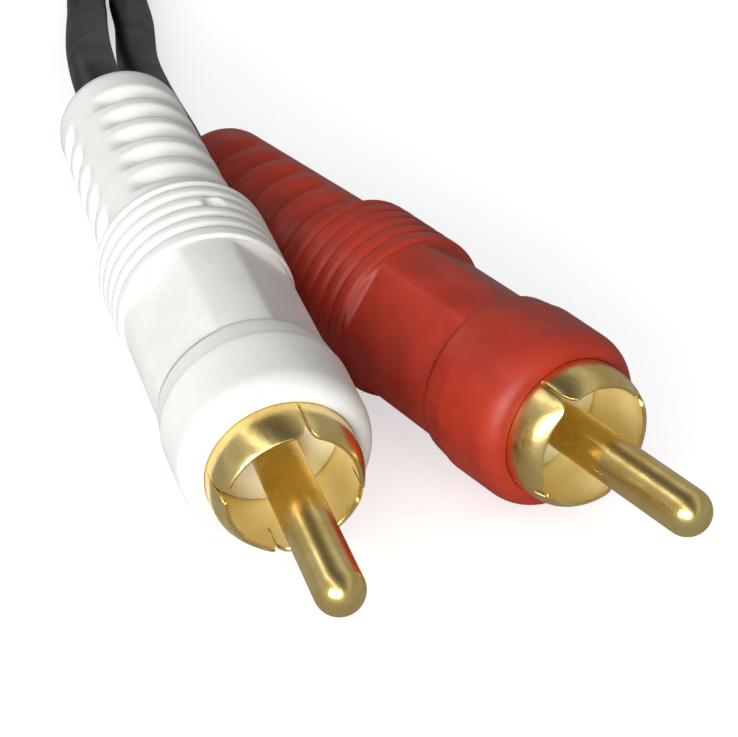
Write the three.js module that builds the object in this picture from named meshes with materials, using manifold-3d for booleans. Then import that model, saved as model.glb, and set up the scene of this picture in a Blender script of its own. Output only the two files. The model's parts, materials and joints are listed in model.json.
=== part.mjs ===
// Stereo phono lead: a white and a red moulded plug at each end of a thin black twin lead.
// Millimetres, +Z up, lying on z = 0. The pins of the near pair of plugs point towards -Y.
import * as THREE from 'three';
import { mergeVertices } from 'three/addons/utils/BufferGeometryUtils.js';
import Module from 'manifold-3d';

const wasm = await Module();
wasm.setup();

// Clearance between pieces that are pressed or moulded together
const fit = 0.2;
// Clearance between two faces that only touch
const touch = 0.3;

// Centre pin: places along a plug are measured from the front face of its collar, forward of it
// where a name says reach and back from it where a name says depth
const pinRadius = 1.6;
const pinReach = 13.45;
const pinShoulderDepth = 3.9;
const pinTailRadius = 1.15;
const pinTailDepth = 11;
const cupRadius = 0.75;
const cupLength = 2.4;

// Shell: a thin gold cup whose front is slit into four petals that are pinched inwards
const shellRadius = 4.98;
const shellWall = 0.3;
const shellDepth = 5.3;
const flangeRadius = 3.1;
const slitWidth = 0.3;
const slitRoot = 0.15;
const petalLength = 3.0;
const petalCorner = 0.95;
const bendReach = 1.0;
const pinchRadius = 4.2;
const sideRadius = 4.5;
const petalCount = 4;
const tabWidth = 2.4;
const tabLength = 5.2;
const tabInset = 1.38;

// Insulator between the pin and the shell
const discDepth = 2.7;
const discThickness = 2.05;
const hubDepth = 8;

// Moulded body: collar, barrel with four flats, ring section and ribbed strain relief
const collarRadius = 6.4;
const frontRound = 1.2;
const frontRoundDepth = 1.8;
const ridgeDepth = 5.67;
const collarFoot = 6.15;
const collarDepth = 7.4;
const barrelRadius = 6.05;
const flatDistance = 5.45;
const flatSlope = 0.45;
const flatCount = 4;
const ringDepth = 17.3;
const ringRadius = 6.27;
const ringEndDepth = 25.0;
const ringGrooves = 5;
const ringPitch = 1.33;
const ringGrooveDepth = 0.28;
const ringGrooveWidth = 0.62;
const lastGrooveInset = 0.8;
const lipRound = 0.3;
const reliefRadius = 5.27;
const reliefEndRadius = 4.82;
const bodyDepth = 45.0;
const reliefGrooves = 5;
const reliefPitch = 3.17;
const reliefGrooveDepth = 0.8;
const reliefGrooveWidth = 1.35;
const reliefGrooveInset = 3.1;
const webAngle = 30;

// Lead: two round cores side by side, joined by a thin web
const leadRadius = 2.0;
const twinPitch = 4.1;
const jacketWall = 0.7;
const coreRadius = 1.05;
const conductorRadius = 0.42;
const jacketDepth = 15;
const coreDepth = 12;
const strandRadius = 0.3;

// Inner mould round the solder joints
const cavityRadius = 4.6;
const mouldDepth = 24;
const mouldThroat = 14;

// Far end of the twin lead, wound on edge into a long hank behind the near plugs: its near fold
// turns about hankCentre, and its outermost and innermost lanes give the two radii
const hankCentre = [1.05, 139.7];
const hankLength = 84;
const hankOuter = 35.95;
const hankInner = 23.5;
const hankLift = 0.9;
const tieWidth = 9;
const tieWall = 0.6;

const gold = { color: 0xc8ab58, roughness: 0.24, metalness: 1.0 };
const whitePlastic = { color: 0xebe9e2, roughness: 0.42, metalness: 0.0 };
const redPlastic = { color: 0xa83a28, roughness: 0.42, metalness: 0.0 };
const creamPlastic = { color: 0xe6d7b0, roughness: 0.5, metalness: 0.0 };
const mouldPlastic = { color: 0xd9d6cc, roughness: 0.6, metalness: 0.0 };
const blackVinyl = { color: 0x2e2e31, roughness: 0.45, metalness: 0.0 };
const polythene = { color: 0xe4e4e0, roughness: 0.55, metalness: 0.0 };
const copper = { color: 0xb87348, roughness: 0.35, metalness: 1.0 };
const tieCloth = { color: 0x1c1c1e, roughness: 0.85, metalness: 0.0 };

const radians = THREE.MathUtils.degToRad;

function signedVolume(geometry) {
  const p = geometry.attributes.position;
  const [a, b, c] = [new THREE.Vector3(), new THREE.Vector3(), new THREE.Vector3()];
  let volume = 0;
  for (let i = 0; i < geometry.index.count; i += 3) {
    a.fromBufferAttribute(p, geometry.index.getX(i));
    b.fromBufferAttribute(p, geometry.index.getX(i + 1));
    c.fromBufferAttribute(p, geometry.index.getX(i + 2));
    volume += a.dot(b.cross(c)) / 6;
  }
  return volume;
}

// Shared vertices merged, empty triangles dropped and the faces pointing outwards
function closed(geometry) {
  const bare = geometry.clone();
  for (const name of ['normal', 'uv', 'uv1']) bare.deleteAttribute(name);
  bare.clearGroups();
  const merged = mergeVertices(bare, 1e-4);
  const kept = [];
  for (let i = 0; i < merged.index.count; i += 3) {
    const t = [0, 1, 2].map((k) => merged.index.getX(i + k));
    if (t[0] !== t[1] && t[1] !== t[2] && t[2] !== t[0]) kept.push(...t);
  }
  merged.setIndex(kept);
  if (signedVolume(merged) < 0) {
    for (let i = 0; i < kept.length; i += 3) [kept[i], kept[i + 1]] = [kept[i + 1], kept[i]];
    merged.setIndex(kept);
  }
  return merged;
}

function solid(geometry) {
  const mesh = closed(geometry);
  return new wasm.Manifold(new wasm.Mesh({
    numProp: 3,
    vertProperties: new Float32Array(mesh.attributes.position.array),
    triVerts: new Uint32Array(mesh.index.array),
  }));
}

function toGeometry(manifold) {
  const mesh = manifold.getMesh();
  const geometry = new THREE.BufferGeometry();
  geometry.setAttribute('position', new THREE.BufferAttribute(mesh.vertProperties, 3));
  geometry.setIndex(new THREE.BufferAttribute(mesh.triVerts, 1));
  geometry.computeVertexNormals();
  return geometry;
}

function piece(name, geometry, finish) {
  const mesh = new THREE.Mesh(geometry, new THREE.MeshStandardMaterial(finish));
  mesh.name = name;
  return mesh;
}

// A turned piece about the plug's axis, which is +Y towards the tip
function turned(path, segments) {
  const lathe = closed(new THREE.LatheGeometry(path.getPoints(2), segments));
  lathe.computeVertexNormals();
  return lathe;
}

function ring(outer, inner, frontDepth, backDepth, segments) {
  const path = new THREE.Path();
  path.moveTo(inner, -frontDepth);
  path.lineTo(outer, -frontDepth);
  path.lineTo(outer, -backDepth);
  path.lineTo(inner, -backDepth);
  path.lineTo(inner, -frontDepth);
  return turned(path, segments);
}

const shellBore = shellRadius + fit;
const shellInner = shellRadius - shellWall;
const socketDepth = shellDepth + fit;
const cableBore = leadRadius + fit;
const jacketInner = leadRadius - jacketWall;

function reliefRadiusAt(depth) {
  const share = (depth - ringEndDepth) / (bodyDepth - ringEndDepth);
  return THREE.MathUtils.lerp(reliefRadius, reliefEndRadius, share);
}

function bodyOutline() {
  const path = new THREE.Path();
  path.moveTo(shellBore, 0);
  path.lineTo(collarRadius - frontRound, 0);
  path.absellipse(
    collarRadius - frontRound, -frontRoundDepth, frontRound, frontRoundDepth, Math.PI / 2, 0, true);
  path.lineTo(collarRadius, -ridgeDepth);
  path.lineTo(collarFoot, -collarDepth);
  path.lineTo(barrelRadius, -collarDepth);
  path.lineTo(barrelRadius, -ringDepth);
  path.lineTo(ringRadius, -ringDepth);
  for (let i = ringGrooves - 1; i >= 0; i--) {
    const depth = ringEndDepth - lastGrooveInset - i * ringPitch;
    path.lineTo(ringRadius, ringGrooveWidth / 2 - depth);
    path.lineTo(ringRadius - ringGrooveDepth, -depth);
    path.lineTo(ringRadius, -ringGrooveWidth / 2 - depth);
  }
  path.lineTo(ringRadius, lipRound - ringEndDepth);
  path.lineTo(ringRadius - lipRound, -ringEndDepth);
  path.lineTo(reliefRadius, -ringEndDepth);
  path.lineTo(reliefEndRadius, lipRound - bodyDepth);
  path.lineTo(reliefEndRadius - lipRound, -bodyDepth);
  path.lineTo(cableBore, -bodyDepth);
  path.lineTo(cableBore, -mouldDepth);
  path.lineTo(cavityRadius, -mouldDepth);
  path.lineTo(cavityRadius, -socketDepth);
  path.lineTo(shellBore, -socketDepth);
  path.lineTo(shellBore, 0);
  return path;
}

// One of the barrel's flats, which ends in a sloping wall where the ring section starts
function flatCutter(turn) {
  const thickness = ringRadius - flatDistance + 1;
  const slope = (flatSlope * thickness) / (ringRadius - flatDistance);
  const shape = new THREE.Shape();
  shape.moveTo(-collarDepth, 0);
  shape.lineTo(-collarDepth, thickness);
  shape.lineTo(-ringDepth - slope / 2, thickness);
  shape.lineTo(-ringDepth + slope / 2, 0);
  const wedge = new THREE.ExtrudeGeometry(shape, { depth: 2 * barrelRadius, bevelEnabled: false });
  wedge.translate(0, 0, -barrelRadius);
  wedge.applyMatrix4(new THREE.Matrix4().makeBasis(
    new THREE.Vector3(0, 1, 0), new THREE.Vector3(0, 0, 1), new THREE.Vector3(1, 0, 0)));
  wedge.translate(0, 0, flatDistance);
  wedge.rotateY(turn);
  return solid(wedge);
}

// One groove of the strain relief, on the side that faces the given way
function grooveCutter(depth, side, segments) {
  const reach = radians((180 - webAngle) / 2);
  const outer = reliefRadius + 1;
  const inner = reliefRadiusAt(depth) - reliefGrooveDepth;
  const shape = new THREE.Shape();
  shape.absarc(0, 0, outer, -reach, reach, false);
  shape.absarc(0, 0, inner, reach, -reach, true);
  const slab = new THREE.ExtrudeGeometry(shape, {
    depth: reliefGrooveWidth,
    bevelEnabled: false,
    curveSegments: segments,
  });
  slab.translate(0, 0, -reliefGrooveWidth / 2);
  slab.rotateX(-Math.PI / 2);
  slab.rotateY(side);
  slab.translate(0, -depth, 0);
  return solid(slab);
}

function bodyGeometry(segments) {
  let body = solid(turned(bodyOutline(), segments));
  for (let i = 0; i < flatCount; i++) {
    body = body.subtract(flatCutter((i * 2 * Math.PI) / flatCount));
  }
  for (let i = 0; i < reliefGrooves; i++) {
    const depth = ringEndDepth + reliefGrooveInset + i * reliefPitch;
    for (const side of [0, Math.PI]) {
      body = body.subtract(grooveCutter(depth, side, Math.round(segments / 4)));
    }
  }
  return toGeometry(body);
}

// How long a petal's sheet is at an angle from its middle, with rounded corners
function sheetLength(angle, half) {
  const corner = petalCorner / shellRadius;
  const along = Math.max(0, (Math.abs(angle) - (half - corner)) / corner);
  return petalLength - petalCorner * (1 - Math.sqrt(1 - Math.min(1, along) ** 2));
}

// Radius and reach of a point of a petal. Its front curls inwards along an arc, and its middle
// is pinched in further than its sides.
function petalPoint(length, angle) {
  const side = (angle * petalCount) / Math.PI;
  const edge = THREE.MathUtils.lerp(pinchRadius, sideRadius, side ** 2);
  const curl = petalLength - bendReach;
  const share = (shellRadius - edge) / curl;
  const bend = 2 * share + (2 / 3) * share ** 3;
  const radius = curl / bend;
  const turn = Math.max(0, length - bendReach) / radius;
  return {
    radius: shellRadius - radius * (1 - Math.cos(turn)),
    reach: Math.min(length, bendReach) + radius * Math.sin(turn),
    lean: turn,
  };
}

// The closed outline of the shell's wall at one angle: back part first, then the petal
function shellColumn(turn, angle, half, rows) {
  const at = (radius, reach) => new THREE.Vector3(
    radius * Math.sin(turn + angle), reach, radius * Math.cos(turn + angle));
  const base = [
    at(shellRadius, slitRoot),
    at(shellRadius, -shellDepth),
    at(flangeRadius, -shellDepth),
    at(flangeRadius, shellWall - shellDepth),
    at(shellInner, shellWall - shellDepth),
    at(shellInner, slitRoot),
  ];
  const outside = [];
  const inside = [];
  for (let i = 1; i <= rows; i++) {
    const length = THREE.MathUtils.lerp(slitRoot, sheetLength(angle, half), i / rows);
    const { radius, reach, lean } = petalPoint(length, angle);
    outside.push(at(radius, reach));
    inside.push(at(radius - shellWall * Math.cos(lean), reach - shellWall * Math.sin(lean)));
  }
  return { base, loop: [...base, ...inside, ...outside.reverse()] };
}

function shellGeometry(perPetal, rows) {
  const half = Math.PI / petalCount - slitWidth / 2 / shellRadius;
  const columns = [];
  for (let k = 0; k < petalCount; k++) {
    for (let c = 0; c <= perPetal; c++) {
      const angle = THREE.MathUtils.lerp(-half, half, c / perPetal);
      const turn = ((2 * k + 1) * Math.PI) / petalCount;
      columns.push({ ...shellColumn(turn, angle, half, rows), last: c === perPetal, first: c === 0 });
    }
  }
  const triangles = [];
  const quad = (a, b, c, d) => triangles.push(a, b, c, a, c, d);
  columns.forEach((here, i) => {
    const next = columns[(i + 1) % columns.length];
    const name = here.last ? 'base' : 'loop';
    const count = here[name].length;
    for (let e = 0; e < count; e++) {
      const f = (e + 1) % count;
      quad(here[name][e], here[name][f], next[name][f], next[name][e]);
    }
    if (!here.first && !here.last) return;
    const inside = [here.base[5], ...here.loop.slice(6, 6 + rows)];
    const outside = [here.base[0], ...here.loop.slice(6 + rows).reverse()];
    for (let t = 0; t < rows; t++) {
      const wall = [inside[t], inside[t + 1], outside[t + 1], outside[t]];
      quad(...(here.last ? wall : wall.reverse()));
    }
  });
  const cup = new THREE.BufferGeometry().setFromPoints(triangles);
  const tab = new THREE.BoxGeometry(tabWidth, tabLength, shellWall);
  const tabRadius = shellRadius - tabInset - shellWall / 2;
  tab.translate(0, shellWall / 3 - shellDepth - tabLength / 2, tabRadius);
  return toGeometry(solid(cup).add(solid(tab)));
}

function insulatorGeometry(segments) {
  const disc = shellInner - fit;
  const hub = flangeRadius - fit;
  const pinBore = pinRadius + fit;
  const tailBore = pinTailRadius + fit;
  const step = discDepth + discThickness;
  const path = new THREE.Path();
  path.moveTo(pinBore, -discDepth);
  path.lineTo(disc, -discDepth);
  path.lineTo(disc, -step);
  path.lineTo(hub, -step);
  path.lineTo(hub, -hubDepth);
  path.lineTo(tailBore, -hubDepth);
  path.lineTo(tailBore, -pinShoulderDepth - fit);
  path.lineTo(pinBore, -pinShoulderDepth - fit);
  path.lineTo(pinBore, -discDepth);
  return turned(path, segments);
}

function pinGeometry(segments) {
  const path = new THREE.Path();
  path.moveTo(0, cupLength - pinTailDepth);
  path.lineTo(cupRadius, cupLength - pinTailDepth);
  path.lineTo(cupRadius, -pinTailDepth);
  path.lineTo(pinTailRadius, -pinTailDepth);
  path.lineTo(pinTailRadius, -pinShoulderDepth);
  path.lineTo(pinRadius, -pinShoulderDepth);
  path.lineTo(pinRadius, pinReach - pinRadius);
  path.absarc(0, pinReach - pinRadius, pinRadius, 0, Math.PI / 2, false);
  return turned(path, segments);
}

function mouldGeometry(segments) {
  const outer = cavityRadius - fit;
  const front = socketDepth + fit;
  const back = mouldDepth - fit;
  const room = outer - 2 * fit;
  const path = new THREE.Path();
  path.moveTo(room, -front);
  path.lineTo(outer, -front);
  path.lineTo(outer, -back);
  path.lineTo(cableBore, -back);
  path.lineTo(cableBore, -mouldThroat);
  path.lineTo(room, -mouldThroat);
  path.lineTo(room, -front);
  return turned(path, segments);
}

function tube(points, section, steps) {
  return closed(new THREE.ExtrudeGeometry(section, {
    steps,
    bevelEnabled: false,
    extrudePath: new THREE.CatmullRomCurve3(points.map((p) => new THREE.Vector3(...p))),
  }));
}

function roundSection(radius, sides) {
  const shape = new THREE.Shape();
  for (let i = 0; i < sides; i++) {
    const turn = (2 * Math.PI * (i + 0.5)) / sides;
    const point = [radius * Math.cos(turn), radius * Math.sin(turn)];
    if (i === 0) shape.moveTo(...point);
    else shape.lineTo(...point);
  }
  shape.closePath();
  return shape;
}

// The shield's strands, twisted into one wire from the jacket up to the shell's tab
function strandGeometry() {
  const tabFace = shellRadius - tabInset - shellWall - strandRadius - fit;
  const jacketFace = (leadRadius + jacketInner) / 2;
  const start = hubDepth + strandRadius + touch;
  const finish = jacketDepth - touch;
  const points = [
    [0, -start, tabFace],
    [0, -THREE.MathUtils.lerp(start, finish, 0.25), tabFace],
    [0, -THREE.MathUtils.lerp(start, finish, 0.55), (tabFace + jacketFace) / 2],
    [0, -THREE.MathUtils.lerp(start, finish, 0.8), jacketFace],
    [0, -finish, jacketFace],
  ];
  return tube(points, roundSection(strandRadius, 6), 8);
}

function pinDetail(fine) {
  return fine ? 20 : 12;
}

function plug(name, plastic, fine, shellTurn) {
  const group = new THREE.Group();
  const round = fine ? 28 : 16;
  const small = fine ? 16 : 12;
  const shell = piece(`${name}_shell`, shellGeometry(fine ? 6 : 4, fine ? 4 : 3), gold);
  shell.rotation.y = radians(shellTurn);
  group.add(
    piece(`${name}_plug_body`, bodyGeometry(round), plastic),
    shell,
    piece(`${name}_insulator`, insulatorGeometry(round), creamPlastic),
    piece(`${name}_centre_pin`, pinGeometry(pinDetail(fine)), gold),
    piece(`${name}_inner_mould`, mouldGeometry(small), mouldPlastic),
    piece(`${name}_jacket_end`,
      ring(leadRadius, jacketInner, jacketDepth, bodyDepth, small), blackVinyl),
    piece(`${name}_core`,
      ring(coreRadius, conductorRadius + fit, coreDepth, bodyDepth, 10), polythene),
    piece(`${name}_conductor`, conductorGeometry(), copper),
    strands(name, shellTurn),
  );
  return group;
}

function conductorGeometry() {
  const front = pinTailDepth - cupLength + touch;
  const wire = new THREE.CylinderGeometry(
    conductorRadius, conductorRadius, bodyDepth - front, 8);
  wire.translate(0, -(bodyDepth + front) / 2, 0);
  return closed(wire);
}

function strands(name, shellTurn) {
  const wire = piece(`${name}_shield_strands`, strandGeometry(), copper);
  wire.rotation.y = radians(shellTurn);
  return wire;
}

// Lays a plug on z = 0: heading is turned from -Y towards +X, pitch lifts its tip,
// roll turns it about its own axis
function lay(group, pose) {
  group.rotation.set(
    radians(pose.pitch), radians(pose.roll), Math.PI + radians(pose.heading), 'ZXY');
  group.position.set(pose.x, pose.y, 0);
  group.updateMatrixWorld(true);
  group.position.z = -new THREE.Box3().setFromObject(group, true).min.z;
  group.updateMatrixWorld(true);
  return group;
}

// Where the lead leaves a plug that has been laid down, a little behind its strain relief
function exit(group, beyond) {
  return group.localToWorld(new THREE.Vector3(0, -bodyDepth - beyond, 0)).toArray();
}

// The figure-of-eight section of the twin lead, as wide along Y as two cores and their web
function twinSection() {
  const shape = new THREE.Shape();
  const neck = radians(28);
  const side = twinPitch / 2;
  const steps = 7;
  for (const half of [1, -1]) {
    for (let i = 0; i <= steps; i++) {
      const turn = THREE.MathUtils.lerp(neck - Math.PI, Math.PI - neck, i / steps);
      const across = half * (side + leadRadius * Math.cos(turn));
      const up = half * leadRadius * Math.sin(turn);
      if (half === 1 && i === 0) shape.moveTo(up, across);
      else shape.lineTo(up, across);
    }
  }
  shape.closePath();
  return shape;
}

function racetrack(radius, PathType) {
  const path = new PathType();
  path.absarc(0, 0, radius, Math.PI, 2 * Math.PI, false);
  path.absarc(0, hankLength, radius, 0, Math.PI, false);
  path.closePath();
  return path;
}

function hankGeometry() {
  const outline = racetrack(hankOuter, THREE.Shape);
  outline.holes.push(racetrack(hankInner, THREE.Path));
  const height = twinPitch + 2 * leadRadius;
  const hank = new THREE.ExtrudeGeometry(outline, {
    depth: height,
    bevelEnabled: false,
    curveSegments: 12,
  });
  hank.translate(...hankCentre, hankLift);
  return closed(hank);
}

// A flat band that goes once round one side of the hank
function tieGeometry(side) {
  const height = twinPitch + 2 * leadRadius + 2 * touch;
  const width = hankOuter - hankInner + 2 * touch;
  const inner = new THREE.BoxGeometry(width, 2 * tieWidth, height);
  const outer = new THREE.BoxGeometry(width + 2 * tieWall, tieWidth, height + 2 * tieWall);
  const band = toGeometry(solid(outer).subtract(solid(inner)));
  const x = hankCentre[0] + (side * (hankOuter + hankInner)) / 2;
  band.translate(x, hankCentre[1] + hankLength / 2, height / 2 + tieWall);
  return band;
}

const model = new THREE.Group();

// Where the front face of each plug lies, and its heading, pitch and roll in degrees. The red plug
// lies flat and the back of the white one leans on its strain relief.
const whitePose = { x: -9.85, y: -15.02, heading: -7.43, pitch: -5.9, roll: 54 };
const redPose = { x: 9.85, y: -16.77, heading: 7.43, pitch: 1.25, roll: -29 };
const farWhitePose = { x: -11.2, y: 134, heading: -3, pitch: 1.25, roll: 20 };
const farRedPose = { x: 8.1, y: 134, heading: 4, pitch: 1.25, roll: -65 };

const white = lay(plug('white', whitePlastic, true, 31.5), whitePose);
const red = lay(plug('red', redPlastic, true, 64.5), redPose);
const farWhite = lay(plug('far_white', whitePlastic, false, 45), farWhitePose);
const farRed = lay(plug('far_red', redPlastic, false, 0), farRedPose);
model.add(white, red, farWhite, farRed);

// The near cores come together on the floor, and the far ones part inside the hank
const splitPlace = [17.6, 88.8];
const splitHeading = radians(23);

function besideSplit(side, back) {
  const across = (side * twinPitch) / 2;
  const [cos, sin] = [Math.cos(splitHeading), Math.sin(splitHeading)];
  return [
    splitPlace[0] + across * cos - back * sin,
    splitPlace[1] - across * sin - back * cos,
    leadRadius,
  ];
}

// The far cores leave the lead inside the hank's far fold, one above the other
const farSplit = [hankCentre[0] - 20.95, hankCentre[1] + hankLength - 17.3];

function lead(name, points, steps) {
  return piece(name, tube(points, roundSection(leadRadius, 10), steps), blackVinyl);
}

model.add(
  lead('white_lead', [
    exit(white, touch),
    exit(white, 7),
    [-0.3, 46.5, 10.3],
    [5.8, 63.5, 6.2],
    [10.6, 76.4, 3.3],
    besideSplit(-1, 6),
    besideSplit(-1, touch),
  ], 10),
  lead('red_lead', [
    exit(red, touch),
    exit(red, 6),
    [5.4, 42.0, 4.2],
    [8.2, 54.6, 3.2],
    [10.9, 64.5, 2.4],
    [15.0, 75.5, 2.0],
    besideSplit(1, 6),
    besideSplit(1, touch),
  ], 10),
  piece('twin_lead', tube([
    besideSplit(0, 0),
    besideSplit(0, -7),
    [23.2, 102.0, 2.0],
    [26.1, 108.5, 2.0],
  ], twinSection(), 4), blackVinyl),
  piece('hank', hankGeometry(), blackVinyl),
  piece('tie_left', tieGeometry(-1), tieCloth),
  piece('tie_right', tieGeometry(1), tieCloth),
  lead('far_white_lead', [
    [farSplit[0], farSplit[1] - 2.6, 2.95],
    [-16.7, 199.5, 3.2],
    [-10.9, 190.2, 4.7],
    exit(farWhite, 4.5),
    exit(farWhite, touch),
  ], 6),
  lead('far_red_lead', [
    [...farSplit, 7.0],
    [-17.5, 203.8, 7.1],
    [-9.8, 199.5, 5.0],
    [-2.1, 195.2, 3.9],
    [3.0, 188.1, 5.0],
    exit(farRed, 4),
    exit(farRed, touch),
  ], 8),
);

export default model;
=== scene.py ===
import json
import math

import bpy
import bmesh
from mathutils import Matrix, Quaternion, Vector

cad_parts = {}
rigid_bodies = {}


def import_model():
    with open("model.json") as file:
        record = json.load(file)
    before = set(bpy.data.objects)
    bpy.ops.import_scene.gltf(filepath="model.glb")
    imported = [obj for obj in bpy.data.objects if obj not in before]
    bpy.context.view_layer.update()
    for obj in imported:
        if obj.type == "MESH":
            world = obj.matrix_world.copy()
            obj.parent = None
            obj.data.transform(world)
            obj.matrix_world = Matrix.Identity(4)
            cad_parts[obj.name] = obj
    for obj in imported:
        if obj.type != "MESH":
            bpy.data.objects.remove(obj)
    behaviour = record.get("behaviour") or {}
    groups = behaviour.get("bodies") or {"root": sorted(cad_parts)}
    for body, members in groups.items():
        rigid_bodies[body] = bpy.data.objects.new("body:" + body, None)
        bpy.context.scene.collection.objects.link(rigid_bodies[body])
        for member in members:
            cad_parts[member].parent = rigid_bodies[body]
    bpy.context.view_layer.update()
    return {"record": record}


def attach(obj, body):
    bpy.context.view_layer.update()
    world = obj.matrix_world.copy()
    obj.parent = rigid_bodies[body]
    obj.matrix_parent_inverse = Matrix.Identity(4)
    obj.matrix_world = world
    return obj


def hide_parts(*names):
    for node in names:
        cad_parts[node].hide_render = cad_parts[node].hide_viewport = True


mm = 0.001
mergeDistance = 1e-7  # in metres
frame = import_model()


# Camera

camera = {
    "place": Vector((-61.77, -114.55, 72.74)),
    "aim": Vector((1.53, -4.45, 6.0)),
    "roll": 6.66,
    "focal": 2087.0,  # in the picture's pixels, as frameWidth is
    "frameWidth": 738.0,
    "sensor": 36.0,
    "nearest": 10,
    "farthest": 20000,
}


def makeCamera():
    data = bpy.data.cameras.new("camera")
    data.sensor_width = camera["sensor"]
    data.lens = camera["sensor"] * camera["focal"] / camera["frameWidth"]
    data.clip_start = camera["nearest"] * mm
    data.clip_end = camera["farthest"] * mm
    eye = bpy.data.objects.new("camera", data)
    bpy.context.scene.collection.objects.link(eye)
    eye.location = camera["place"] * mm
    forward = (camera["aim"] - camera["place"]).normalized()
    roll = Quaternion((0, 0, 1), math.radians(camera["roll"]))
    eye.rotation_mode = "QUATERNION"
    eye.rotation_quaternion = forward.to_track_quat("-Z", "Y") @ roll
    bpy.context.scene.camera = eye


makeCamera()
print("camera made")


# Mesh helpers

def newObject(name, mesh, slot):
    made = bpy.data.objects.new(name, mesh)
    bpy.context.scene.collection.objects.link(made)
    made.data.materials.append(materials[slot])
    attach(made, "root")
    return made


def meshFrom(name, points, faces):
    mesh = bpy.data.meshes.new(name)
    mesh.from_pydata([p * mm for p in points], [], faces)
    mesh.validate()
    bm = bmesh.new()
    bm.from_mesh(mesh)
    bmesh.ops.remove_doubles(bm, verts=bm.verts, dist=mergeDistance)
    bmesh.ops.recalc_face_normals(bm, faces=bm.faces)
    bm.to_mesh(mesh)
    bm.free()
    for face in mesh.polygons:
        face.use_smooth = True
    return mesh


def ringFaces(rows, count, closed=False):
    # Faces between rings of points; closed joins the last ring to the first
    faces = []
    last = rows if closed else rows - 1
    for j in range(last):
        k = (j + 1) % rows
        for i in range(count):
            n = (i + 1) % count
            faces.append((j * count + i, j * count + n, k * count + n, k * count + i))
    return faces


def smoothstep(low, high, value):
    t = min(1.0, max(0.0, (value - low) / (high - low)))
    return t * t * (3 - 2 * t)


def smoothMin(a, b, soft):
    h = max(soft - abs(a - b), 0.0) / soft
    return min(a, b) - h * h * soft / 4


def partWay(a, b, share):
    return a + (b - a) * share


def offNearest(turn, pitch):
    # How far a turn is from the nearest whole number of pitches
    return abs((turn + pitch / 2) % pitch - pitch / 2)


def quarterTurn(steps):
    return [math.pi / 2 * i / steps for i in range(steps + 1)]


# Materials

class Value:
    # An output of a shader node, with the operators that the materials use
    def __init__(self, nodes, socket):
        self.nodes, self.socket = nodes, socket

    def output(self, name):
        return Value(self.nodes, self.socket.node.outputs[name])

    def maths(self, operation, other):
        return self.nodes.add("Math", {"operation": operation}, {0: self, 1: other})

    def __add__(self, other):
        return self.maths("ADD", other)

    def __mul__(self, other):
        return self.maths("MULTIPLY", other)

    __radd__ = __add__
    __rmul__ = __mul__

    def between(self, low, high):
        return self.nodes.add(
            "MapRange", {"interpolation_type": "SMOOTHSTEP"},
            {"Value": self, "From Min": low, "From Max": high})


class Nodes:
    # The tree of a material or of the world, and the shader that it feeds
    def __init__(self, owner, shader):
        self.owner = owner
        owner.use_nodes = True
        self.tree = owner.node_tree
        self.shader = self.tree.nodes[shader]

    def plug(self, item, socket):
        if isinstance(item, Value):
            self.tree.links.new(item.socket, socket)
        else:
            socket.default_value = item

    def add(self, kind, settings, sockets):
        made = self.tree.nodes.new(f"ShaderNode{kind}")
        for name, setting in settings.items():
            if name == "stops":
                setStops(made.color_ramp.elements, setting)
            else:
                setattr(made, name, setting)
        for name, item in sockets.items():
            self.plug(item, made.inputs[name])
        return Value(self, made.outputs[0])

    def noise(self, scale, detail, rough=0.5, stretch=None):
        where = self.add("TexCoord", {}, {}).output("Object")
        if stretch:
            where = self.add("Mapping", {}, {"Vector": where, "Scale": stretch})
        sockets = {"Vector": where, "Scale": scale, "Detail": detail, "Roughness": rough}
        return self.add("TexNoise", {}, sockets).output("Fac")

    def mix(self, amount, first, second):
        sockets = {"Factor": amount, "A": first, "B": second}
        return self.add("Mix", {"data_type": "RGBA"}, sockets).output("Result")

    def bump(self, height, distance, strength):
        sockets = {"Height": height, "Distance": distance, "Strength": strength}
        self.set(Normal=self.add("Bump", {}, sockets))

    def set(self, **sockets):
        for name, item in sockets.items():
            self.plug(item, self.shader.inputs[name.replace("_", " ")])
        return self.owner


def setStops(elements, stops):
    while len(elements) < len(stops):
        elements.new(0.5)
    for element, (position, bright) in zip(elements, stops):
        element.position = position
        element.color = (bright, bright, bright, 1)


def newMaterial(name):
    return Nodes(bpy.data.materials.new(name), "Principled BSDF")


def linear(red, green, blue):
    # The shader's colour for one given from 0 to 255, as on a screen
    def channel(v):
        v /= 255
        return v / 12.92 if v <= 0.04045 else ((v + 0.055) / 1.055) ** 2.4
    return channel(red), channel(green), channel(blue), 1


# The noises' scales are in cells to the metre, and the bumps' distances in metres

def plasticMaterial(name, light, dark, roughness, specular):
    n = newMaterial(name)
    cloud = n.noise(scale=350, detail=3).between(0.35, 0.7)
    grain = n.noise(scale=9000, detail=2)
    smear = n.noise(scale=900, detail=4, rough=0.6)
    n.bump(grain * 0.5 + smear, distance=0.00003, strength=0.6)
    return n.set(
        Base_Color=n.mix(cloud, linear(*light), linear(*dark)),
        Roughness=roughness - 0.08 + smear * 0.16,
        Specular_IOR_Level=specular,
    )


def goldMaterial(name, light, dark, roughness, metallic):
    n = newMaterial(name)
    cloud = n.noise(scale=420, detail=4).between(0.35, 0.72)
    scratch = n.noise(scale=2600, detail=3, rough=0.6, stretch=(1, 0.12, 1))
    dents = n.noise(scale=900, detail=2)
    n.bump(scratch * 0.25 + dents, distance=0.00003, strength=0.7)
    return n.set(
        Base_Color=n.mix(cloud, linear(*light), linear(*dark)),
        Roughness=roughness + cloud * 0.08 + scratch * 0.1,
        Metallic=metallic,
    )


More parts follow.
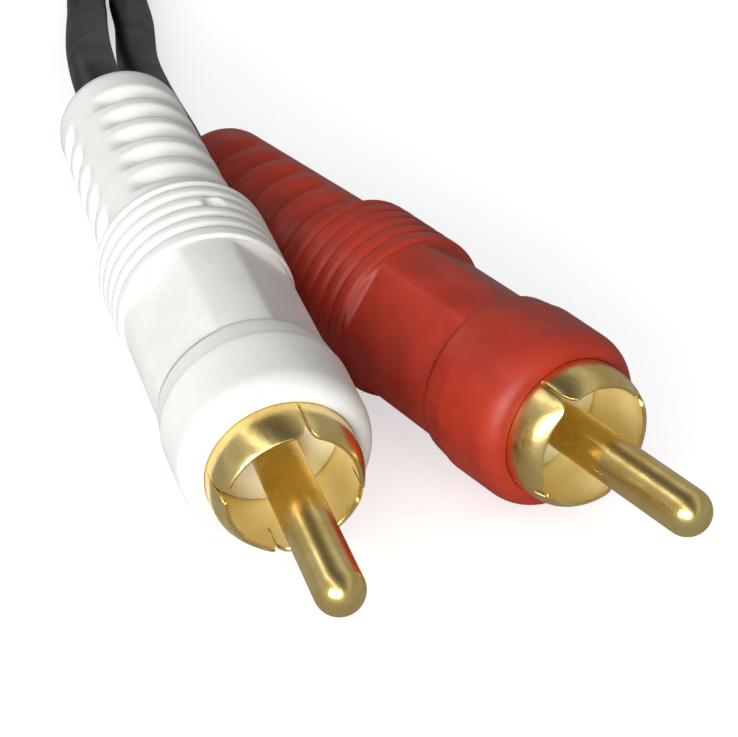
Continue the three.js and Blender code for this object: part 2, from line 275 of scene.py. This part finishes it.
def vinylMaterial(name, light, dark, roughness, specular):
    n = newMaterial(name)
    cloud = n.noise(scale=300, detail=3).between(0.3, 0.7)
    n.bump(n.noise(scale=6000, detail=2), distance=0.00002, strength=0.5)
    return n.set(
        Base_Color=n.mix(cloud, linear(*light), linear(*dark)),
        Roughness=roughness + cloud * 0.08,
        Specular_IOR_Level=specular,
    )


def simpleMaterial(name, light, dark, roughness, metallic=0.0):
    n = newMaterial(name)
    cloud = n.noise(scale=500, detail=3).between(0.3, 0.7)
    n.bump(n.noise(scale=5000, detail=2), distance=0.00002, strength=0.4)
    return n.set(
        Base_Color=n.mix(cloud, linear(*light), linear(*dark)),
        Roughness=roughness + cloud * 0.1,
        Metallic=metallic,
    )


materials = {
    "gold_plate": goldMaterial(
        "gold plate", (238, 213, 142), (220, 190, 112), roughness=0.17, metallic=1.0),
    "white_plastic": plasticMaterial(
        "white plastic", (236, 235, 231), (231, 230, 225), roughness=0.45, specular=0.4),
    "red_plastic": plasticMaterial(
        "red plastic", (173, 49, 27), (158, 41, 21), roughness=0.46, specular=0.42),
    "cream_plastic": simpleMaterial(
        "cream plastic", (252, 248, 228), (248, 241, 214), roughness=0.45),
    "mould_plastic": simpleMaterial(
        "mould plastic", (217, 214, 204), (205, 202, 190), roughness=0.6),
    "black_vinyl": vinylMaterial(
        "black vinyl", (27, 27, 30), (20, 20, 23), roughness=0.4, specular=0.35),
    "polythene": simpleMaterial("polythene", (228, 228, 224), (220, 220, 216), roughness=0.5),
    "copper": simpleMaterial(
        "copper", (196, 120, 84), (170, 98, 64), roughness=0.3, metallic=1.0),
    "tie_cloth": simpleMaterial("tie cloth", (34, 34, 36), (24, 24, 26), roughness=0.85),
}
# The cup's inside: a rougher, less metallic gold, its lighter colour painted light for the light
# that falls into the cup
cupLiningPaintedLighter = goldMaterial(
    "gold plate inside painted lighter", (255, 240, 180), (250, 230, 160), roughness=0.35, metallic=0.42)
print("materials made")


# Cords

lead = {
    "radius": 2.0,
    "coreAround": 32,
    "pitch": 4.1,  # between the two halves of the twin lead
    "neck": 0.9,
    "halfAround": 20,
    "twinWidth": 8.0,
    "onEdge": (4.0, 46.0),  # where the twin lead starts and ends its turn, from the split
    "step": 1.6,
    "fineStep": 0.7,
}

hank = {
    "centre": (0.0, 139.7),
    "length": 84.0,
    "firstLane": 35.0,
    "lanePitch": 4.2,
    "folds": 5,
    "lift": 0.9,
    "lifted": (20.0, 60.0),  # where the twin lead starts and ends its rise, from the split
    "foldSteps": 14,
    "straightSteps": 6,
    "end": (-24.5, 219.5),
}

# Routes that aren't wound, from the plug to the split and from the far split to the plug
routes = {
    "white": [
        (-4.4, 29.66, 11.1), (-3.35, 36.27, 11.7), (-0.3, 46.5, 10.3), (5.8, 63.5, 6.2),
        (10.6, 76.4, 3.3), (13.37, 84.08, 2.0), (15.60, 89.33, 2.0),
    ],
    "red": [
        (3.99, 28.14, 5.81), (3.9, 33.79, 5.68), (6.05, 42.0, 4.3), (8.85, 54.6, 3.2),
        (11.5, 64.5, 2.4), (15.55, 76.0, 2.0), (17.4, 82.48, 2.0), (19.37, 87.72, 2.0),
    ],
    "twin": [
        (17.6, 88.8), (20.34, 95.24), (23.2, 102.0), (27.6, 113.0), (32.0, 125.0),
        (34.5, 133.5),
    ],
    "farWhite": [
        (-24.5, 219.5, 2.9), (-22.5, 208.8, 2.9), (-16.7, 199.5, 3.2), (-10.9, 190.2, 4.7),
        (-8.95, 183.9, 5.7), (-8.83, 179.2, 5.83),
    ],
    "farRed": [
        (-24.5, 219.5, 7.0), (-22.7, 210.9, 7.0), (-17.5, 203.8, 7.0), (-9.8, 199.5, 4.9),
        (-2.1, 195.2, 3.9), (3.0, 188.1, 5.0), (4.7, 183.4, 5.7), (4.94, 179.2, 5.83),
    ],
}

coreNodes = {
    "white": "white_lead", "red": "red_lead",
    "farWhite": "far_white_lead", "farRed": "far_red_lead",
}


def smoothRoute(points, step, cuts=24):
    # A centripetal curve through the points, cut finely and then into equal short steps
    points = [Vector(p) for p in points]
    ends = [2 * points[0] - points[1], *points, 2 * points[-1] - points[-2]]
    fine = []
    for a, b, c, d in zip(ends, ends[1:], ends[2:], ends[3:]):
        t0 = 0.0
        t1 = t0 + (b - a).length ** 0.5
        t2 = t1 + (c - b).length ** 0.5
        t3 = t2 + (d - c).length ** 0.5
        for i in range(cuts):
            t = t1 + (t2 - t1) * i / cuts
            a1 = a * ((t1 - t) / (t1 - t0)) + b * ((t - t0) / (t1 - t0))
            a2 = b * ((t2 - t) / (t2 - t1)) + c * ((t - t1) / (t2 - t1))
            a3 = c * ((t3 - t) / (t3 - t2)) + d * ((t - t2) / (t3 - t2))
            b1 = a1 * ((t2 - t) / (t2 - t0)) + a2 * ((t - t0) / (t2 - t0))
            b2 = a2 * ((t3 - t) / (t3 - t1)) + a3 * ((t - t1) / (t3 - t1))
            fine.append(b1 * ((t2 - t) / (t2 - t1)) + b2 * ((t - t1) / (t2 - t1)))
    fine.append(points[-1])
    lengths = [0.0]
    for p, q in zip(fine, fine[1:]):
        lengths.append(lengths[-1] + (q - p).length)
    count = max(2, round(lengths[-1] / step))
    even, j = [], 0
    for i in range(count + 1):
        want = lengths[-1] * i / count
        while j < len(lengths) - 2 and lengths[j + 1] < want:
            j += 1
        share = (want - lengths[j]) / (lengths[j + 1] - lengths[j])
        even.append(fine[j].lerp(fine[j + 1], share))
    return even


def routeLength(points):
    return sum((q - p).length for p, q in zip(points, points[1:]))


def hankRoute():
    # Folds turn alternately about the far and the near centre, each half a lane further in
    x, near = hank["centre"]
    far = near + hank["length"]
    points = []
    for fold in range(hank["folds"]):
        start = hank["firstLane"] - fold * hank["lanePitch"] / 2
        side = 1 if fold % 2 == 0 else -1
        first, last = (near, far) if side == 1 else (far, near)
        for i in range(hank["straightSteps"]):
            points.append((x + side * start, partWay(first, last, i / hank["straightSteps"])))
        for i in range(hank["foldSteps"]):
            share = i / hank["foldSteps"]
            radius = start - share * hank["lanePitch"] / 2
            turn = math.pi * share
            points.append((
                x + side * radius * math.cos(turn), last + side * radius * math.sin(turn)))
    points.append((hank["end"][0], far))
    points.append(hank["end"])
    return points


def edgeTurn(along):
    # How far the flat lead has turned onto its edge, at a distance from the split
    return smoothstep(*lead["onEdge"], along) * math.pi / 2


def twinRoute():
    flat = [(x, y, 0.0) for x, y in routes["twin"] + hankRoute()]
    route = smoothRoute(flat, lead["step"])
    along = 0.0
    for i, point in enumerate(route):
        if i:
            along += (Vector((point.x, point.y, 0)) - before).length
        before = Vector((point.x, point.y, 0))
        lift = hank["lift"] * smoothstep(*hank["lifted"], along)
        point.z = lead["radius"] + lead["pitch"] / 2 * math.sin(edgeTurn(along)) + lift
    return route


def twinSection():
    # A figure of eight, as points across and up
    points = []
    neck = math.asin(lead["neck"] / lead["radius"])
    for half in (1, -1):
        for i in range(lead["halfAround"]):
            share = i / (lead["halfAround"] - 1)
            turn = neck - math.pi + (2 * math.pi - 2 * neck) * share
            points.append((
                half * (lead["pitch"] / 2 + lead["radius"] * math.cos(turn)),
                half * lead["radius"] * math.sin(turn)))
    return points


def roundSection(radius, around):
    turns = [2 * math.pi * i / around for i in range(around)]
    return [(radius * math.cos(t), radius * math.sin(t)) for t in turns]


def sweep(name, route, section, turnAt=None):
    points, along = [], 0.0
    for i, place in enumerate(route):
        ahead = (route[min(i + 1, len(route) - 1)] - route[max(i - 1, 0)]).normalized()
        if i:
            along += (place - route[i - 1]).length
        across = ahead.cross(Vector((0, 0, 1))).normalized()
        up = across.cross(ahead)
        turn = turnAt(along) if turnAt else 0.0
        u = across * math.cos(turn) + up * math.sin(turn)
        v = up * math.cos(turn) - across * math.sin(turn)
        points.extend(place + u * a + v * b for a, b in section)
    count = len(section)
    caps = [tuple(range(count)), tuple(range(len(points) - count, len(points)))]
    mesh = meshFrom(name, points, ringFaces(len(route), count) + caps)
    for face in mesh.polygons:
        face.use_smooth = len(face.vertices) == 4  # the caps stay flat
    return mesh


def makeLead(name, route, section, turnAt=None):
    return newObject(name, sweep(name, route, section, turnAt), "black_vinyl")


def declareLead(route):
    route[0] * mm
    routeLength(route) * mm
    [p * mm for p in route]


coreSection = roundSection(lead["radius"], lead["coreAround"])
coreRoutes = {name: smoothRoute(routes[name], lead["step"]) for name in coreNodes}
leads = {name: makeLead(f"{name}_core_lead", smoothRoute(route, lead["fineStep"]), coreSection)
         for name, route in coreRoutes.items()}
for name, node in coreNodes.items():
    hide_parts(node)
twinPath = twinRoute()
twin = makeLead("twin_lead_hank", twinPath, twinSection(), edgeTurn)
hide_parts("twin_lead", "hank")
print("leads made,", round(routeLength(twinPath)), "mm in the twin lead")


# Plugs

# Radii, and depths behind the front face
plug = {
    "bore": 4.99, "boreDepth": 4.0, "lip": 0.06,
    "collar": 6.4, "frontRound": 1.25, "frontDepth": 1.8, "frontSteps": 12,
    "ridge": 5.6, "ridgeRadius": 6.46, "collarFoot": 6.18, "collarEnd": 7.6, "footSteps": 5,
    "barrel": 6.05, "barrelStep": 0.6, "flat": 5.42, "flatRound": 0.16,
    "ringStart": 17.85, "ring": 6.32, "ringEnd": 25.3, "ringFlare": 0.06, "ringSteps": 44,
    "ringGrooves": 5, "ringPitch": 1.33, "ringGrooveDepth": 0.3, "ringGrooveWidth": 0.21,
    "lastGroove": 0.8,
    "relief": 5.35, "reliefEnd": 4.95, "reliefStep": 0.2,
    "end": 45.6, "endRound": 1.2, "endSteps": 6, "cableBore": 2.08, "cableBoreDepth": 6,
    "reliefGrooves": 5, "reliefPitch": 3.15, "firstRelief": 3.2, "reliefDepth": 1.05,
    "reliefWall": (0.22, 1.122),  # half a groove's width at its floor and at its mouth
    "spineEdge": (8, 40),  # degrees from a spine's middle to where the grooves start and are full
    "gateDepth": 22.2, "gateTurn": -61.5, "gateRadius": 0.8, "gateFloor": 0.35, "gateSink": 0.62,
}

shell = {
    "radius": 4.98, "wall": 0.3, "backs": (4.9, 3.2, 1.6, 0.6), "root": 0.15, "slit": 0.14,
    "length": 3.0, "corner": 0.95, "bend": 1.0, "side": 4.5, "petals": 4,
    "columns": 26, "rows": 16, "edge": 0.06, "edgeSegments": 2, "edgeAngle": 50,
}

pin = {
    "radius": 1.6, "reach": 13.45, "back": 2.9, "foot": 0.2,
    "steps": 17, "noseSteps": 12, "around": 48,
}
disc = {
    "front": 2.7, "back": 4.7, "radius": 4.62, "edge": 0.1, "clearance": 0.05, "around": 48,
}

# The place is the front face's centre, and pinches are how far from the axis the middle of each
# petal is at its front
plugs = {
    "white": {
        "place": (-9.95, -15.02, 6.175), "heading": -7.6, "pitch": -6.15, "roll": 54,
        "shellTurn": 31.5, "pinches": (4.3, 4.35, 4.35, 4.3),
        "plastic": "white_plastic", "around": 160,
    },
    "red": {
        "place": (9.85, -16.77, 6.797), "heading": 7.43, "pitch": 1.25, "roll": -29,
        "shellTurn": 64.5, "pinches": (4.05, 4.35, 4.4, 4.3),
        "plastic": "red_plastic", "around": 160,
    },
    "far_white": {
        "place": (-11.2, 134.0, 6.801), "heading": -3, "pitch": 1.25, "roll": 20,
        "shellTurn": 45, "pinches": (4.3, 4.2, 4.3, 4.35),
        "plastic": "white_plastic", "around": 96,
    },
    "far_red": {
        "place": (8.1, 134.0, 6.801), "heading": 4, "pitch": 1.25, "roll": -65,
        "shellTurn": 0, "pinches": (4.25, 4.3, 4.2, 4.3),
        "plastic": "red_plastic", "around": 96,
    },
}


def plugMatrix(pose):
    turn = Matrix.Rotation(math.pi + math.radians(pose["heading"]), 4, "Z")
    lean = Matrix.Rotation(math.radians(pose["pitch"]), 4, "X")
    spin = Matrix.Rotation(math.radians(pose["roll"]), 4, "Y")
    return Matrix.Translation(Vector(pose["place"])) @ turn @ lean @ spin


def about(radius, along, turn):
    # A point of a plug: its tip is towards +Y and turns are from +Z towards +X
    return Vector((radius * math.sin(turn), along, radius * math.cos(turn)))


def reliefRadius(depth):
    share = (depth - plug["ringEnd"]) / (plug["end"] - plug["ringEnd"])
    return partWay(plug["relief"], plug["reliefEnd"], share)


# The body's profile, as radius and depth, from the shell's bore round to the lead's. The small
# steps at each edge break it.

def collarProfile():
    p = plug
    lip, top, foot, end = p["lip"], p["ridgeRadius"] - 0.07, p["collarFoot"], p["collarEnd"]
    points = [(p["bore"], p["boreDepth"]), (p["bore"], lip), (p["bore"] + lip / 3, lip / 4),
              (p["bore"] + lip, 0.0)]
    inner = p["collar"] - p["frontRound"]
    for turn in quarterTurn(p["frontSteps"]):
        points.append((
            inner + p["frontRound"] * math.sin(turn), p["frontDepth"] * (1 - math.cos(turn))))
    for share in (0.3, 0.6, 0.85):
        points.append((
            partWay(p["collar"], p["ridgeRadius"], share),
            partWay(p["frontDepth"], p["ridge"], share)))
    points += [(p["ridgeRadius"], p["ridge"] - 0.15), (p["ridgeRadius"] - 0.01, p["ridge"] + 0.02)]
    for i in range(p["footSteps"]):
        share = i / p["footSteps"]
        points.append((partWay(top, foot, share), partWay(p["ridge"] + 0.2, end - 0.1, share)))
    return points + [(foot, end - 0.08), (foot - 0.04, end), (p["barrel"], end + 0.06)]


def barrelProfile():
    p = plug
    points = []
    depth = p["collarEnd"] + 0.25
    while depth < p["ringStart"] - p["barrelStep"]:
        points.append((p["barrel"], depth))
        depth += p["barrelStep"]
    for i in range(7):
        points.append((p["barrel"], p["ringStart"] - 0.55 + 0.08 * i))
    return points + [
        (p["barrel"] + 0.03, p["ringStart"] - 0.02), (p["ring"] - 0.07, p["ringStart"] + 0.03),
        (p["ring"] - 0.02, p["ringStart"] + 0.1), (p["ring"], p["ringStart"] + 0.2)]


def ringProfile():
    p = plug
    points = []
    grooves = [p["ringEnd"] - p["lastGroove"] - i * p["ringPitch"] for i in range(p["ringGrooves"])]
    for i in range(1, p["ringSteps"]):
        share = i / p["ringSteps"]
        depth = partWay(p["ringStart"] + 0.2, p["ringEnd"] - 0.3, share)
        cut = max(math.exp(-((depth - g) / p["ringGrooveWidth"]) ** 2) for g in grooves)
        points.append((p["ring"] + p["ringFlare"] * share - p["ringGrooveDepth"] * cut, depth))
    rear = p["ring"] + p["ringFlare"]
    return points + [
        (rear - 0.05, p["ringEnd"] - 0.2), (rear - 0.2, p["ringEnd"] - 0.05),
        (rear - 0.4, p["ringEnd"])]


def reliefProfile():
    p = plug
    points = [(p["relief"] + 0.15, p["ringEnd"] + 0.02), (p["relief"], p["ringEnd"] + 0.15)]
    depth = p["ringEnd"] + 0.4
    while depth < p["end"] - p["endRound"]:
        points.append((reliefRadius(depth), depth))
        depth += p["reliefStep"]
    for turn in quarterTurn(p["endSteps"]):
        points.append((
            reliefRadius(p["end"]) - p["endRound"] * (1 - math.cos(turn)),
            p["end"] - p["endRound"] * (1 - math.sin(turn))))
    return points + [
        (p["cableBore"] + 0.1, p["end"]), (p["cableBore"], p["end"] - 0.1),
        (p["cableBore"], p["end"] - p["cableBoreDepth"])]


def bodyProfile():
    return collarProfile() + barrelProfile() + ringProfile() + reliefProfile()


def bodyRadius(radius, depth, turn):
    # The profile's radius less the barrel's four flats, the relief's grooves or the gate's dimple
    p = plug
    if p["collarEnd"] <= depth < p["ringStart"] + 0.3:
        wall = smoothstep(p["ringStart"] - 0.55, p["ringStart"] + 0.25, depth)
        flat = partWay(p["flat"], p["ring"], wall)
        return smoothMin(radius, flat / math.cos(offNearest(turn, math.pi / 2)), p["flatRound"])
    if depth > p["ringEnd"] and radius > p["relief"] / 2:
        side = smoothstep(*p["spineEdge"], math.degrees(offNearest(turn, math.pi)))
        cut = 0.0
        for i in range(p["reliefGrooves"]):
            centre = p["ringEnd"] + p["firstRelief"] + i * p["reliefPitch"]
            cut = max(cut, 1 - smoothstep(*p["reliefWall"], abs(depth - centre)))
        return radius - p["reliefDepth"] * cut * side
    if abs(depth - p["gateDepth"]) < p["gateRadius"]:
        across = math.radians(offNearest(math.degrees(turn) - p["gateTurn"], 360)) * radius
        off = math.hypot(across, depth - p["gateDepth"]) / p["gateRadius"]
        return radius - p["gateSink"] * (1 - smoothstep(p["gateFloor"], 1.0, off))
    return radius


def turnedMesh(name, matrix, profile, around, closed=False, shaped=None):
    points = []
    for radius, depth in profile:
        for i in range(around):
            turn = 2 * math.pi * i / around
            out = shaped(radius, depth, turn) if shaped else radius
            points.append(matrix @ about(out, -depth, turn))
    return meshFrom(name, points, ringFaces(len(profile), around, closed))


def pinProfile():
    p = pin
    foot = p["back"] - p["foot"]
    tip = p["reach"] - p["radius"]
    points = [(0.0, p["back"]), (p["radius"], p["back"])]
    for i in range(p["steps"] + 1):
        points.append((p["radius"], partWay(foot, -tip, i / p["steps"])))
    for turn in quarterTurn(p["noseSteps"])[1:]:
        points.append((p["radius"] * math.cos(turn), -tip - p["radius"] * math.sin(turn)))
    return points


def discProfile():
    inner, outer = pin["radius"] + disc["clearance"], disc["radius"]
    return [
        (inner, disc["back"]), (inner, disc["front"]), (outer - disc["edge"], disc["front"]),
        (outer, disc["front"] + disc["edge"]), (outer, disc["back"])]


def sheetLength(angle, half):
    corner = shell["corner"] / shell["radius"]
    share = min(1.0, max(0.0, (abs(angle) - (half - corner)) / corner))
    return shell["length"] - shell["corner"] * (1 - math.sqrt(1 - share ** 2))


def petalPoint(length, angle, pinch):
    # The front of a petal curls inwards along an arc, its middle further than its sides
    side = angle * shell["petals"] / math.pi
    edge = pinch + (shell["side"] - pinch) * side ** 2
    curl = shell["length"] - shell["bend"]
    share = (shell["radius"] - edge) / curl
    radius = curl / (2 * share + 2 / 3 * share ** 3)
    turn = max(0.0, length - shell["bend"]) / radius
    return (shell["radius"] - radius * (1 - math.cos(turn)),
            min(length, shell["bend"]) + radius * math.sin(turn))


def shellMesh(name, matrix, pinches):
    # A tube whose columns join all round behind the slits and only within each petal ahead of them
    half = math.pi / shell["petals"] - shell["slit"] / 2 / shell["radius"]
    rows, columns, backs = shell["rows"], shell["columns"], shell["backs"]
    across = len(backs) + rows + 1
    total = shell["petals"] * (columns + 1) * across
    points, faces = [], []
    for k, pinch in enumerate(pinches):
        middle = (2 * k + 1) * math.pi / shell["petals"]
        for c in range(columns + 1):
            angle = -half + 2 * half * c / columns
            base = len(points)
            for depth in backs:
                points.append(about(shell["radius"], -depth, middle + angle))
            for i in range(rows + 1):
                length = partWay(shell["root"], sheetLength(angle, half), i / rows)
                radius, reach = petalPoint(length, angle, pinch)
                points.append(about(radius, reach, middle + angle))
            ahead = (base + across) % total
            last = across - 1 if c < columns else len(backs)
            for i in range(last):
                faces.append((base + i, base + i + 1, ahead + i + 1, ahead + i))
    return meshFrom(name, [matrix @ p for p in points], faces)


def thicken(cup):
    # Adds the shell's wall, whose inside takes the second material: a rougher, less metallic gold
    # whose lighter colour is painted light, standing in for light falling into the cup
    cup.data.materials.append(cupLiningPaintedLighter)
    wall = cup.modifiers.new("wall", "SOLIDIFY")
    wall.material_offset = 1
    wall.thickness = shell["wall"] * mm
    wall.offset = -1
    wall.use_even_offset = True
    edge = cup.modifiers.new("edge", "BEVEL")
    edge.width = shell["edge"] * mm
    edge.segments = shell["edgeSegments"]
    edge.limit_method = "ANGLE"
    edge.angle_limit = math.radians(shell["edgeAngle"])
    evaluated = cup.evaluated_get(bpy.context.evaluated_depsgraph_get())
    mesh = bpy.data.meshes.new_from_object(evaluated)
    cup.modifiers.clear()
    cup.data = mesh


def makePlug(name):
    pose = plugs[name]
    matrix = plugMatrix(pose)
    shellMatrix = matrix @ Matrix.Rotation(math.radians(pose["shellTurn"]), 4, "Y")
    made = []

    def add(part, mesh, slot, node):
        piece = newObject(f"{name}_{part}", mesh, slot)
        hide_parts(f"{name}_{node}")
        made.append(piece)
        return piece

    body = turnedMesh(
        f"{name}_body", matrix, bodyProfile(), pose["around"], closed=True, shaped=bodyRadius)
    add("moulded_body", body, pose["plastic"], "plug_body")
    petals = shellMesh(f"{name}_shell", shellMatrix, pose["pinches"])
    thicken(add("petal_shell", petals, "gold_plate", "shell"))
    nail = turnedMesh(f"{name}_pin", matrix, pinProfile(), pin["around"])
    add("pin", nail, "gold_plate", "centre_pin")
    face = turnedMesh(f"{name}_disc", matrix, discProfile(), disc["around"], closed=True)
    add("insulator_disc", face, "cream_plastic", "insulator")
    return made


plugPieces = {name: makePlug(name) for name in plugs}
print("plugs made")


# Materials of the CAD nodes that stay

for part in frame["record"]["subparts"]:
    kept = bpy.data.objects[part["node"]]
    kept.data.materials.clear()
    kept.data.materials.append(materials[part["material_slot"]])


# Cord routes' first points, lengths and points, worked out in metres and not kept


declareLead(coreRoutes["white"])
declareLead(coreRoutes["red"])
declareLead(twinPath)
declareLead(coreRoutes["farWhite"])
declareLead(coreRoutes["farRed"])


# Floor, backdrop and light

floorLook = {
    "half": 3000,
    "drop": 0.02,
    "glow": 0.56,
    "pale": (0.9, 0.9, 0.9, 1),
    "mirrored": (0.5, 0.5, 0.5, 1),
    "roughness": 0.9,
}

# In metres and watts
softbox = {
    "place": Vector((-0.46, -0.47, 0.17)), "aim": Vector((0, 0, 0.006)),
    "width": 0.55, "height": 0.3, "power": 5.1,
}

# Brightness of the sky in reflections, at degrees from overhead towards -X
skyBands = [
    (-180, 0.5), (-75, 0.4), (-45, 0.34), (-34, 0.62), (-24, 0.64), (-14, 0.36), (-3, 0.18),
    (10, 0.1), (24, 0.16), (35, 0.4), (39, 2.0), (44, 2.0), (49, 0.6), (62, 0.42), (80, 0.5),
    (180, 0.5),
]

skyFill = {"towards": (-0.52, -0.3, 0.8), "least": 0.09, "most": 0.49}


def floorMaterial():
    # White to the camera with the object's shadow on it, and greyer in reflections
    n = newMaterial("floor")
    rays = n.add("LightPath", {}, {})
    return n.set(
        Base_Color=n.mix(rays.output("Is Glossy Ray"), floorLook["pale"], floorLook["mirrored"]),
        Roughness=floorLook["roughness"],
        Emission_Color=(1, 1, 1, 1),
        Emission_Strength=rays.output("Is Camera Ray") * floorLook["glow"],
    )


def makeFloor():
    mesh = bpy.data.meshes.new("floor")
    size = floorLook["half"] * mm
    corners = [(-size, -size, 0), (size, -size, 0), (size, size, 0), (-size, size, 0)]
    mesh.from_pydata(corners, [], [(0, 1, 2, 3)])
    floor = bpy.data.objects.new("floor", mesh)
    bpy.context.scene.collection.objects.link(floor)
    floor.data.materials.append(floorMaterial())
    floor.location.z = -floorLook["drop"] * mm


def makeSoftbox():
    data = bpy.data.lights.new("softbox", "AREA")
    data.shape = "RECTANGLE"
    data.size = softbox["width"]
    data.size_y = softbox["height"]
    data.energy = softbox["power"]
    lamp = bpy.data.objects.new("softbox", data)
    bpy.context.scene.collection.objects.link(lamp)
    lamp.location = softbox["place"]
    lamp.rotation_mode = "QUATERNION"
    lamp.rotation_quaternion = (softbox["aim"] - softbox["place"]).to_track_quat("-Z", "Y")


def skyLight(n, way):
    # Soft light all round, strongest from above on the softbox's side
    towards = n.add(
        "VectorMath", {"operation": "DOT_PRODUCT"}, {0: way, 1: skyFill["towards"]})
    return n.add("MapRange", {}, {
        "Value": towards.output("Value"), "From Min": -1,
        "To Min": skyFill["least"], "To Max": skyFill["most"]})


def skyMirrored(n, way):
    parts = n.add("SeparateXYZ", {}, {0: way})
    turn = (-1 * parts.output("X")).maths("ARCTAN2", parts.output("Z"))
    share = n.add("MapRange", {}, {"Value": turn, "From Min": -math.pi, "From Max": math.pi})
    stops = [((degrees + 180) / 360, bright) for degrees, bright in skyBands]
    return n.add("ValToRGB", {"stops": stops}, {"Fac": share})


def makeWorld():
    world = bpy.data.worlds.new("world")
    bpy.context.scene.world = world
    n = Nodes(world, "Background")
    way = n.add("TexCoord", {}, {}).output("Generated")
    mirrored = n.add("LightPath", {}, {}).output("Is Glossy Ray")
    n.set(Color=n.mix(mirrored, skyLight(n, way), skyMirrored(n, way)))


makeFloor()
makeWorld()
makeSoftbox()
bpy.context.scene.view_settings.view_transform = "Standard"
print("floor, sky and softbox made")
